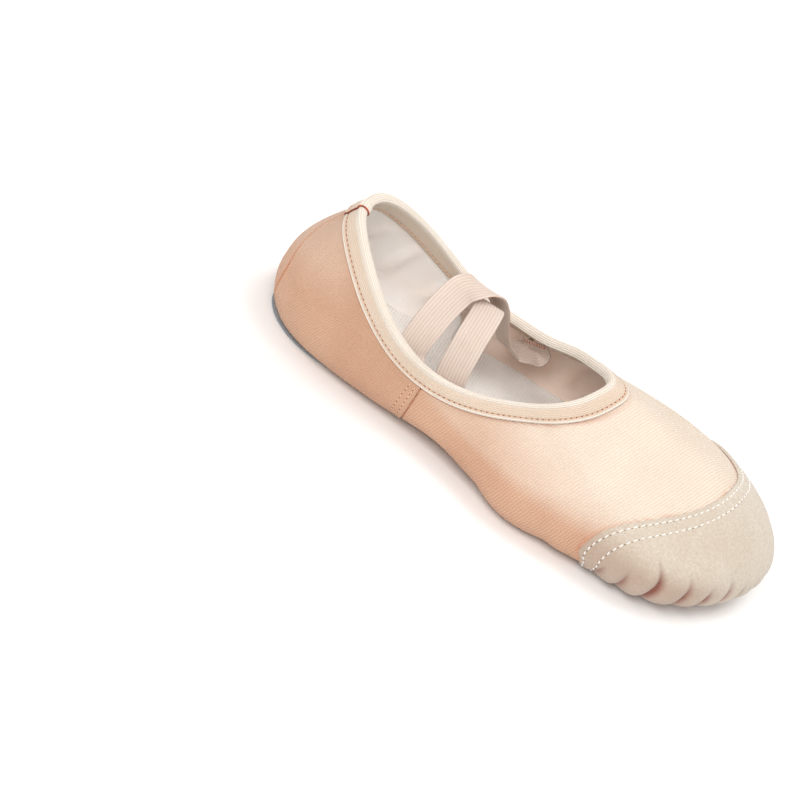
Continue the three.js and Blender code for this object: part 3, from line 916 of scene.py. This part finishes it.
def inner_cloth(stations, falls):
    """Points, shade (painted shade of the folds, and the forefoot panel's colour) and weave places of the
    lining.
    """
    s, f = np.meshgrid(stations, falls, indexing="ij")
    base = face(s, f)
    calm = smoothstep(0.0, 0.05, f - fall_at_depth(s, TAPE_TURN)) * smoothstep(0.8, 0.65, f)
    folds = crease_relief(base, LINING_CREASES) * calm
    level = np.minimum(pleat_relief(s, f), 0) - CANVAS_WALL - np.maximum(folds, DEEPEST_CREASE)
    turn = smoothstep(SEAM_STATION + 0.02, SEAM_STATION - 0.02, np.abs(signed(s)))
    # painted shade on the lining's folds, deeper in the forefoot; turn is the forefoot panel's own colour
    shade = np.stack([(0.1 + 0.22 * turn) * np.clip(folds / 2, 0, 1), turn], -1)
    return base + face_normal(s, f) * level[..., None], shade, weave_places(s, f, base)


def build_upper():
    stations = close_stations(28, SEAMS)
    outer, inner = wall_falls(66, 26, 16), wall_falls(34, 12, 7)
    halves = zip(outer_cloth(stations, outer), inner_cloth(stations, inner[::-1]))
    points, shade, weave = (np.concatenate(pair, 1) for pair in halves)
    inner_side = np.zeros(points.shape[:2], bool)
    inner_side[:, len(outer):] = True
    faces = tube_faces(len(stations), points.shape[1], closed=True, open_side=len(outer) - 1)
    make_piece("canvas_upper", points, faces, CANVAS, ("upper",), weave=weave, shade=shade,
               extra=(LINING, inner_side.ravel()))


# Toe cap

def crossing(values, places):
    """The place where the values first turn positive."""
    first = np.argmax(values > 0)
    share = values[first - 1] / (values[first - 1] - values[first])
    return places[first - 1] + share * (places[1] - places[0])


def contour(distance, low_fall):
    """The line on the last that lies so far inside the toe cap's edge, as stations and falls,
    from the left side of the patch over the foot to the right side."""
    fine_falls = np.linspace(0.05, low_fall, 500)
    fine_stations = np.linspace(0, 5, 500)
    sides = []
    for side in (1, -1):
        line = []
        for station in np.linspace(0, 2.4, 60):
            past = past_cap_edge(face(side * station, fine_falls)) - distance
            line.append((side * station, crossing(past, fine_falls)))
        for fall in np.linspace(line[-1][1], low_fall, 80)[1:]:
            past = past_cap_edge(face(side * fine_stations, fall)) - distance
            line.append((side * crossing(-past, fine_stations), fall))
        sides.append(np.array(line))
    return np.concatenate([sides[0][::-1], sides[1][1:]])


def fall_at_patch(station, margin):
    """The fall where each station's line reaches the front patch's outline grown by a margin."""
    falls = np.linspace(FLAT_AT, 1, 300)
    points = face(np.asarray(station)[:, None], falls[None])
    centre = FRONT_PATCH["start"] + FRONT_PATCH["length"] / 2
    cosine = (points[..., 0] - centre) / (FRONT_PATCH["length"] / 2 + margin)
    wide = (FRONT_PATCH["width"] / 2 + margin) * (1 + FRONT_PATCH["taper"] * np.clip(cosine, -1, 1))
    inside = cosine ** 2 + (points[..., 1] / wide) ** 2 < 1
    return falls[np.where(inside.any(1), inside.argmax(1), len(falls) - 1)]


def resample(line, count):
    """The same line of stations and falls at even steps over the last."""
    walk = walked(face(line[:, 0], line[:, 1]))
    at = np.linspace(0, walk[-1], count)
    return np.stack([np.interp(at, walk, line[:, 0]), np.interp(at, walk, line[:, 1])], -1)


def cap_outline():
    """The cap's edge, cut where it meets the front patch on either side."""
    line = contour(0.0, 0.97)
    return line[line[:, 1] < fall_at_patch(line[:, 0], GAP)]


def build_toe_cap():
    columns, rows = 520, 104
    edge = resample(cap_outline(), columns)
    foot_station = np.linspace(edge[0, 0], edge[-1, 0], columns)
    foot = np.stack([foot_station, fall_at_patch(foot_station, GAP)], -1)
    places = edge[:, None] + (foot - edge)[:, None] * np.linspace(0, 1, rows)[None, :, None]
    s, f = places[..., 0], places[..., 1]
    base = face(s, f)
    turned = quarter_round(walked(base) / CAP_EDGE_ROUND)
    relief = pleat_relief(s, f)
    past = past_cap_edge(base)
    pressed = CAP_ROW_DIP * sum(bell(past - row, 0.5) for row in CAP_ROWS) * smoothstep(12, 8, past)
    out = GAP + SUEDE_WALL * (0.25 + 0.75 * turned) + relief - pressed
    outside = base + face_normal(s, f) * out[..., None]
    outside[..., 2] = np.maximum(outside[..., 2], 0.15)
    few = np.linspace(rows - 1, 0, 12).astype(int)
    hold = (GAP * 0.4 + np.minimum(relief, 0))[:, few]
    inside = base[:, few] + face_normal(s[:, few], f[:, few]) * hold[..., None]
    points = np.concatenate([outside, inside], 1)
    count = points.shape[1]
    # painted shade in the pleat valleys
    crease_shade = np.clip((-relief - 0.3) / 1.5, 0, 1) ** 1.2
    # painted shade on the cap's steep sides, away from the toe's middle
    steep_shade = 0.6 * smoothstep(0.8, 0.1, face_normal(s, f)[..., 2]) * smoothstep(1.2, 2.6, np.abs(s))
    shade = np.stack([crease_shade, steep_shade], -1)
    shade = np.concatenate([shade, shade[:, few]], 1)
    faces = [ids[::-1] for ids in tube_faces(columns, count)]
    make_piece("toe_cap_suede", points, faces, CAP_SUEDE, ("toe_cap",), shade=shade)


def sew_cap():
    sewing = Sewing()
    for row in CAP_ROWS:
        line = resample(contour(row, 0.8), 400)
        lift = GAP + SUEDE_WALL + pleat_relief(line[:, 0], line[:, 1]) - CAP_ROW_DIP
        path = offset(line[:, 0], line[:, 1], lift)
        normals = face_normal(line[:, 0], line[:, 1])
        sewing.row(path, normals, pitch=3.0, long=1.9, thick=0.62, sink=0.1, turn=0.16, hole_shade=0.6)
    sewing.finish("cap", WHITE_THREAD, GREY_HOLE_SHADE, "cap_suede")


# Collar tape

# Outer and inner profile of the tape: depth below the canvas edge and height over the canvas.
TAPE_OUTSIDE = (
    (9.0, 0.55), (8.85, 0.95), (8.5, 1.2), (8.0, 1.3), (7.5, 1.2), (7.15, 0.85), (6.9, 0.7), (6.65, 0.85),
    (6.3, 1.1), (5.6, 1.18), (4.8, 1.2), (4.0, 1.2), (3.2, 1.2), (2.5, 1.18), (1.9, 1.1), (1.6, 1.02),
    (1.35, 1.12), (0.9, 1.28), (0.45, 1.36), (0.0, 1.38),
)
TAPE_INSIDE = (
    (0.0, 1.36), (0.8, 1.32), (1.6, 1.22), (2.6, 1.2), (3.8, 1.2), (5.0, 1.2), (6.0, 1.2), (6.6, 1.05),
    (7.0, 0.9), (7.4, 1.05), (7.9, 1.2), (8.3, 1.05), (8.5, 0.6),
)
ROLL_POINTS = 13
TAPE_ROLL = 1.25
TAPE_ROLL_OUT = 1.38
TAPE_START = HEEL_STATION - 0.25
TAPE_END = HEEL_STATION + STATIONS + 0.2
TAPE_LAP = 0.5
TAPE_LIFT = 0.75
OUTER_ROW = 6.95
INNER_ROW = 7.0


def tape_width_share(station):
    """The tape lies a little wider along the sides than at the heel."""
    stations = (0, 4.5, 5.6, 7.4, 8.2, HEEL_STATION)
    return np.interp(np.abs(signed(station)), stations, (1, 1, 1.05, 1.1, 1.02, 0.88))


def lap_lift(station):
    """How far the tape's end lies off the edge, where it laps over the start."""
    return TAPE_LIFT * smoothstep(TAPE_END - TAPE_LAP, TAPE_END - TAPE_LAP * 0.4, station)


def tape_section(lift):
    """One section of the tape as depths and distances, lifted where its end laps the start."""
    middle = -CANVAS_WALL / 2
    radius = CANVAS_WALL / 2 + TAPE_ROLL_OUT + lift
    outer = [(depth, height + lift) for depth, height in TAPE_OUTSIDE]
    roll = []
    for angle in np.linspace(0, np.pi, ROLL_POINTS + 2)[1:-1]:
        bulge = radius + 0.1 * math.cos(7 * angle)
        roll.append((-(TAPE_ROLL + lift) * math.sin(angle), middle + bulge * math.cos(angle)))
    inner = [(depth, -CANVAS_WALL - height - lift) for depth, height in TAPE_INSIDE]
    back = -CANVAS_WALL - lift
    under = [(8.5, back - 0.25), (4.0, back - 0.25), (0.0, back - 0.3), (-0.35 - lift, middle),
             (0.0, 0.3 + lift), (4.0, 0.25 + lift), (8.9, 0.25 + lift)]
    return np.array(outer + roll + inner + under)


def build_tape():
    stations = np.linspace(TAPE_START, TAPE_END, 560)
    sections = np.array([tape_section(lift) for lift in lap_lift(stations)])
    depth, distance = sections[..., 0], sections[..., 1]
    s = np.broadcast_to(stations[:, None], depth.shape)
    depth = np.where((depth > 0) & (distance > 0), depth * tape_width_share(s), depth)
    points = tape_point(s, depth, distance)
    count = depth.shape[1]
    girth = walked(face(stations, 0))
    weave = np.stack(np.broadcast_arrays(girth[:, None], walked(sections[0])[None]), -1)
    inner_start = len(TAPE_OUTSIDE) + ROLL_POINTS
    dark, turn = np.zeros(depth.shape), np.zeros(depth.shape)
    # painted shade in the stitch grooves and in the dip below the roll
    dark[:, 4:8] = (0.06, 0.22, 0.22, 0.06)
    dark[:, 15] = 0.12
    dark[:, inner_start + 7:inner_start + 10] = (0.1, 0.2, 0.1)
    # painted shadow under the lapping end
    dark = np.maximum(dark, smoothstep(TAPE_END - 0.035, TAPE_END - 0.01, stations)[:, None])
    # painted shade on the flat face and inner side; the roll and lower lip stay light
    turn[:, 4:14] = 0.55
    turn[:, 14:16] = 0.35
    turn[:, inner_start + 2:] = 0.4
    shade = np.stack([dark, turn], -1)
    make_piece("collar_binding", points, tube_faces(len(stations), count, ends=True), TAPE,
               ("collar_tape",), weave=weave, shade=shade)


def sew_tape():
    sewing = Sewing()
    run = np.linspace(TAPE_START + 0.46, TAPE_END - 0.02, 1400)
    lift = lap_lift(run)
    outer_depth = OUTER_ROW * tape_width_share(run)
    outer_line = tape_point(run, outer_depth, 0.72 + lift)
    outer_up = face_normal(run, fall_at_depth(run, outer_depth))
    sewing.row(outer_line, outer_up, pitch=2.25, long=1.3, thick=0.46, sink=0.14, hole_shade=0.72, high=0.34)
    inner_line = tape_point(run, INNER_ROW, -CANVAS_WALL - 0.92 - lift)
    sewing.row(inner_line, -outer_up, pitch=2.4, long=1.6, thick=0.56, sink=0.04, hole_shade=0.5, high=0.2)
    sewing.finish("tape", TAPE_THREAD, HOLE_SHADE, "tape")


# Sole patches and insole

# The patch's rounded edge as insets and heights, and a stitch groove as places across and depths
PATCH_EDGE = (
    (0.9, PATCH_WALL), (0.35, PATCH_WALL - 0.1), (0.0, PATCH_WALL - 0.4),
    (0.0, 0.45), (0.2, 0.14), (0.7, 0.0),
)
PATCH_GROOVE = ((-0.75, 0), (-0.4, 0.18), (-0.15, 0.4), (0.15, 0.4), (0.4, 0.18), (0.75, 0))


def build_patch(name, patch, material, slot, node, rows):
    """A suede patch with rounded edges and a sunk groove for each row of stitches below."""
    count = 260
    angle = circle(count)
    centre_x = patch["start"] + patch["length"] / 2

    def ring(shrink, height):
        shrink = np.broadcast_to(shrink, angle.shape)
        x = centre_x + (patch["length"] / 2 - shrink) * np.cos(angle)
        y = (patch["width"] / 2 - shrink) * np.sin(angle) * (1 + patch["taper"] * np.cos(angle))
        return np.stack([x, y, np.broadcast_to(height, angle.shape)], -1)

    def groove(row):
        near, narrow = row
        return near + narrow * (1 - np.cos(angle)) / 2

    rings = [ring(patch["width"] / 2 * share, PATCH_WALL) for share in (0.98, 0.6, 0.25)]
    rings += [ring(inset, height) for inset, height in PATCH_EDGE]
    for row in rows:
        rings += [ring(groove(row) + away, depth) for away, depth in PATCH_GROOVE]
    deepest = groove(rows[-1]).max()
    for share in np.linspace(0.15, 0.98, 7):
        rings.append(ring(deepest + 0.8 + (patch["width"] / 2 - deepest - 0.8) * share, 0.0))
    points = np.array(rings)
    faces = [ids[::-1] for ids in tube_faces(len(rings), count)]
    faces.append(tuple(range(count)))
    faces.append(tuple((len(rings) - 1) * count + j for j in range(count - 1, -1, -1)))
    shade = np.zeros((*points.shape[:2], 2))
    # painted shade on the patch's rounded side edge
    shade[4:8, :, 0] = 0.35
    make_piece(name, points, faces, material, (node,), shade=shade)

    sewing = Sewing()
    for row in rows:
        line = ring(groove(row), 0.38)
        line = np.concatenate([line, line[:1]])
        sewing.row(line, DOWN, pitch=2.9, long=1.9, thick=0.5, sink=0.15, high=0.2)
    sewing.finish(name, WHITE_THREAD, GREY_HOLE_SHADE, slot)


def build_insole():
    stations = np.linspace(0, STATIONS, 16 * STATIONS, endpoint=False)
    falls = np.linspace(INSOLE_FROM + 0.005, 1, 30)
    s, f = np.meshgrid(stations, falls, indexing="ij")
    top = CANVAS_WALL + GAP
    rounded = quarter_round((f - falls[0]) / 0.02)
    under = offset(s, f, -top + 0 * f)
    over = offset(s, f, -top - INSOLE_WALL * (0.35 + 0.65 * rounded))
    points = np.concatenate([under, over[:, ::-1]], 1)
    weave = points[..., :2].copy()
    faces = tube_faces(len(stations), points.shape[1], closed=True, open_side=len(falls) - 1)
    make_piece("insole_felt", points, faces, FELT, ("insole",), weave=weave)


# Elastic straps

# The sewn rows are stations, depths and any bow of their own. The free rows are shares of the
# length, half the mouth's width and the side's height and, where the strap turns, degrees.

STRAPS = {
    "front_strap": {
        "start": ((-5.6, 9), (-5.6, 3)),
        "free": (
            (0.353, -0.555, 0.33), (0.352, -0.277, 0.486), (0.35, -0.03, 0.543), (0.346, 0.123, 0.466),
            (0.337, 0.277, 0.286), (0.327, 0.446, 0.043), (0.319, 0.62, -0.07), (0.316, 0.76, -0.08),
        ),
        "end": ((6.12, 8), (6.12, 14), (6.12, 21)),
    },
    "rear_strap": {
        "start": ((-6.38, 9), (-6.38, 3)),
        "free": (
            (0.279, -0.615, 0.286), (0.287, -0.31, 0.514), (0.297, -0.12, 0.63), (0.317, 0.03, 0.66),
            (0.338, 0.185, 0.585), (0.357, 0.33, 0.415, 12), (0.374, 0.46, 0.185, 30),
            (0.389, 0.555, -0.03, 38), (0.404, 0.63, -0.215, 32), (0.418, 0.7, -0.33, 18),
            (0.431, 0.78, -0.36, 6),
        ),
        "end": ((5.02, 14.5, 2.6), (4.9, 10.4, 1.0), (4.82, 7.2, 0.05)),
    },
}
STRAP_RIBS = 10
SIDE_STEP = 0.06


def smooth_route(points, per_span):
    """A smooth line through the points, eased by their distance, as dense points."""
    points = np.asarray(points, float)
    padded = np.concatenate([2 * points[:1] - points[1:2], points, 2 * points[-1:] - points[-2:-1]])
    spans = []
    for i in range(len(points) - 1):
        p0, p1, p2, p3 = padded[i:i + 4]
        d0, d1, d2 = (max(np.linalg.norm(b - a), 1e-6) ** 0.5 for a, b in ((p0, p1), (p1, p2), (p2, p3)))
        m1 = ((p1 - p0) / d0 - (p2 - p0) / (d0 + d1) + (p2 - p1) / d1) * d1
        m2 = ((p2 - p1) / d1 - (p3 - p1) / (d1 + d2) + (p3 - p2) / d2) * d1
        t = np.linspace(0, 1, per_span, endpoint=False)[:, None]
        a, b = 2 * t ** 3 - 3 * t ** 2 + 1, t ** 3 - 2 * t ** 2 + t
        spans.append(a * p1 + b * m1 + (1 - a) * p2 + (t ** 3 - t ** 2) * m2)
    spans.append(points[-1:])
    return np.concatenate(spans)


def strap_course(strap):
    """The strap's middle line, with its sideways and its outward direction at each point."""
    rows = []
    for station, depth, *bow in (*strap["start"], *strap["end"]):
        clear = bow[0] if bow else STRAP_BOW
        distance = -(CANVAS_WALL + TAPE_GAP + TAPE_WALL + GAP + clear + ELASTIC_WALL / 2)
        point = tape_point(station, depth, distance)
        side = tape_point(station + SIDE_STEP, depth, distance) - point
        rows.append((point, unit(side * np.sign(side[0]))))
    free = []
    for along, across, above, *turned in strap["free"]:
        turn = math.radians(turned[0] if turned else 0)
        point = np.array([along * LENGTH, across * MOUTH_WIDTH / 2, SIDE_HEIGHT * (1 + above)])
        free.append((point, np.array([math.cos(turn), -math.sin(turn), 0.0])))
    sewn = len(strap["start"])
    route = rows[:sewn] + free + rows[sewn:]
    line, sides = (smooth_route(values, 14) for values in zip(*route))
    tangent = unit(np.gradient(line, axis=0))
    side = unit(sides - tangent * np.sum(sides * tangent, -1, keepdims=True))
    return line, side, np.cross(tangent, side)


def build_strap(name, line, side, out):
    across = np.linspace(-1, 1, 74)
    rib = np.abs(np.sin(np.pi * STRAP_RIBS * (across + 1) / 2)) ** 0.6
    edge = np.sqrt(np.clip(1 - np.abs(across) ** 14, 0, 1))
    thick = ELASTIC_WALL / 2 * edge * (0.62 + 0.38 * rib)
    ring_across = np.concatenate([across, across[::-1]]) * ELASTIC_WIDTH / 2
    ring_out = np.concatenate([-thick, thick[::-1]])
    points = line[:, None] + side[:, None] * ring_across[:, None] + out[:, None] * ring_out[:, None]
    walk = walked(line)[:, None]
    weave = np.stack(np.broadcast_arrays(walk, ring_across[None]), -1)
    groove = 0.9 * np.concatenate([1 - rib, (1 - rib)[::-1]])
    shade = np.stack(np.broadcast_arrays(groove[None], 0 * walk), -1)
    faces = tube_faces(len(line), len(ring_across), ends=True)
    make_piece(f"{name}_elastic", points, faces, ELASTIC, (name,), weave=weave, shade=shade)


def sew_strap(name, line, side, out):
    """Tacks across the sewn ends. The front strap's far end is hidden and has none."""
    sewing = Sewing()
    for end in ((2, 4), (-3, -5)) if name == "rear_strap" else ((2, 4),):
        for at in end:
            reach = np.linspace(-0.85, 0.85, 40)[:, None] * ELASTIC_WIDTH / 2
            up = out[at] * tack_side(out[at], line[at])
            tack = line[at] + side[at] * reach + up * ELASTIC_WALL * 0.42
            sewing.row(tack, up, pitch=1.15, long=1.5, thick=0.5, sink=0.08, turn=1.2, hole_shade=0)
    sewing.finish(f"{name}_tack", TACK_THREAD, HOLE_SHADE, "elastic")


def tack_side(out, point):
    """The sign that turns a strap's outward direction towards the middle of the shoe."""
    return -np.sign(out[1] * point[1])


# Seam stitches of the canvas

def build_canvas_stitches():
    sewing = Sewing()
    for seam in SIDE_SEAMS:
        for away in SEAM_ROWS:
            step = away / float(station_length(seam))
            station = seam + (step if seam < HEEL_STATION else -step)
            top = float(fall_at_depth(station, TAPE_WIDTH * 1.1 + 1.2))
            falls = np.linspace(top, 0.97, 240)
            run = station + seam_shift(falls, seam)
            lift = crease_relief(face(run, falls), CANVAS_CREASES) * smoothstep(0.84, 0.7, falls)
            sewing.row(offset(run, falls, lift), face_normal(run, falls), pitch=2.3, long=1.2,
                       thick=0.4, sink=0.14, hole_shade=0.62, high=0.2)
    for y in (-ARCH_ROW, ARCH_ROW):
        x = np.linspace(HEEL_PATCH_END - 1, FRONT_PATCH["start"] + 1, 120)
        line = np.stack([x, np.full_like(x, y), underside_height(x)], -1)
        sewing.row(line, DOWN, pitch=2.3, long=1.3, thick=0.42, sink=0.12, hole_shade=0.5, high=0.14)
    sewing.finish("canvas", TAPE_THREAD, HOLE_SHADE, "canvas")


# Stage, light and camera

LIGHT_COLOUR = (1.0, 0.99, 0.98)
LIGHT_AIM = (0.0, 0.0, 0.02)
WORLD_COLOUR = (1.0, 0.985, 0.97, 1.0)
WORLD_LIGHT = 0.74
FLOOR_HALF = 4.0


def area_light(name, place, size, power):
    data = bpy.data.lights.new(name, "AREA")
    data.shape = "RECTANGLE"
    data.size, data.size_y = size
    data.energy = power
    data.color = LIGHT_COLOUR
    lamp = add_object(name, data)
    lamp.location = place
    lamp.rotation_euler = (Vector(LIGHT_AIM) - Vector(place)).to_track_quat("-Z", "Y").to_euler()


def build_stage():
    mesh = bpy.data.meshes.new("floor")
    corners = [(x * FLOOR_HALF, y * FLOOR_HALF, 0) for x, y in ((-1, -1), (1, -1), (1, 1), (-1, 1))]
    mesh.from_pydata(corners, [], [(0, 1, 2, 3)])
    g = Graph("floor", Specular_IOR_Level=0.1)
    colour = g.clouds(2.0, 2, (247, 247, 247), (249.3, 249.3, 249.3))
    mesh.materials.append(g.finish(colour, 0.9, (g.noise(30, 2), 0.02)))
    add_object("floor", mesh)

    world = bpy.data.worlds.new("studio")
    world.use_nodes = True
    background = world.node_tree.nodes["Background"]
    background.inputs[0].default_value = WORLD_COLOUR
    background.inputs[1].default_value = WORLD_LIGHT
    bpy.context.scene.world = world
    area_light("key", (0.35, 0.3, 1.15), (0.7, 0.7), 5.6)
    area_light("front", (-0.25, -0.72, 1.0), (0.7, 0.6), 7.4)
    bpy.context.scene.view_settings.view_transform = "Standard"


def build_camera():
    azimuth, elevation, roll = (math.radians(CAMERA[key]) for key in ("azimuth", "elevation", "roll"))
    level = math.cos(elevation)
    back = np.array([math.sin(azimuth) * level, -math.cos(azimuth) * level, math.sin(elevation)])
    right = np.array([math.cos(azimuth), math.sin(azimuth), 0.0])
    up = np.cross(back, right)
    right, up = math.cos(roll) * right + math.sin(roll) * up, math.cos(roll) * up - math.sin(roll) * right
    away = CAMERA["distance"]
    aside, below = ((pixel - FRAME_PX / 2) / CAMERA["focal_px"] * away for pixel in LOOK_PX)
    place = (np.array(LOOK_POINT) - right * aside + up * below + back * away + SHIFT) * MM
    data = bpy.data.cameras.new("camera")
    data.sensor_width = SENSOR
    data.lens = CAMERA["focal_px"] / FRAME_PX * SENSOR
    camera = add_object("camera", data)
    axes = Matrix((right, up, back)).transposed().to_4x4()
    camera.matrix_world = Matrix.Translation(Vector(place)) @ axes
    bpy.context.scene.camera = camera


build_camera()
build_stage()
build_upper()
build_toe_cap()
sew_cap()
build_tape()
sew_tape()
build_patch("front_patch", FRONT_PATCH, SOLE_SUEDE, "sole_suede", "front_sole_patch", FRONT_ROWS)
build_patch("heel_patch", HEEL_PATCH, HEEL_SUEDE, "heel_suede", "heel_sole_patch", HEEL_ROWS)
build_insole()
for strap_name, strap in STRAPS.items():
    course = strap_course(strap)
    build_strap(strap_name, *course)
    sew_strap(strap_name, *course)
build_canvas_stitches()
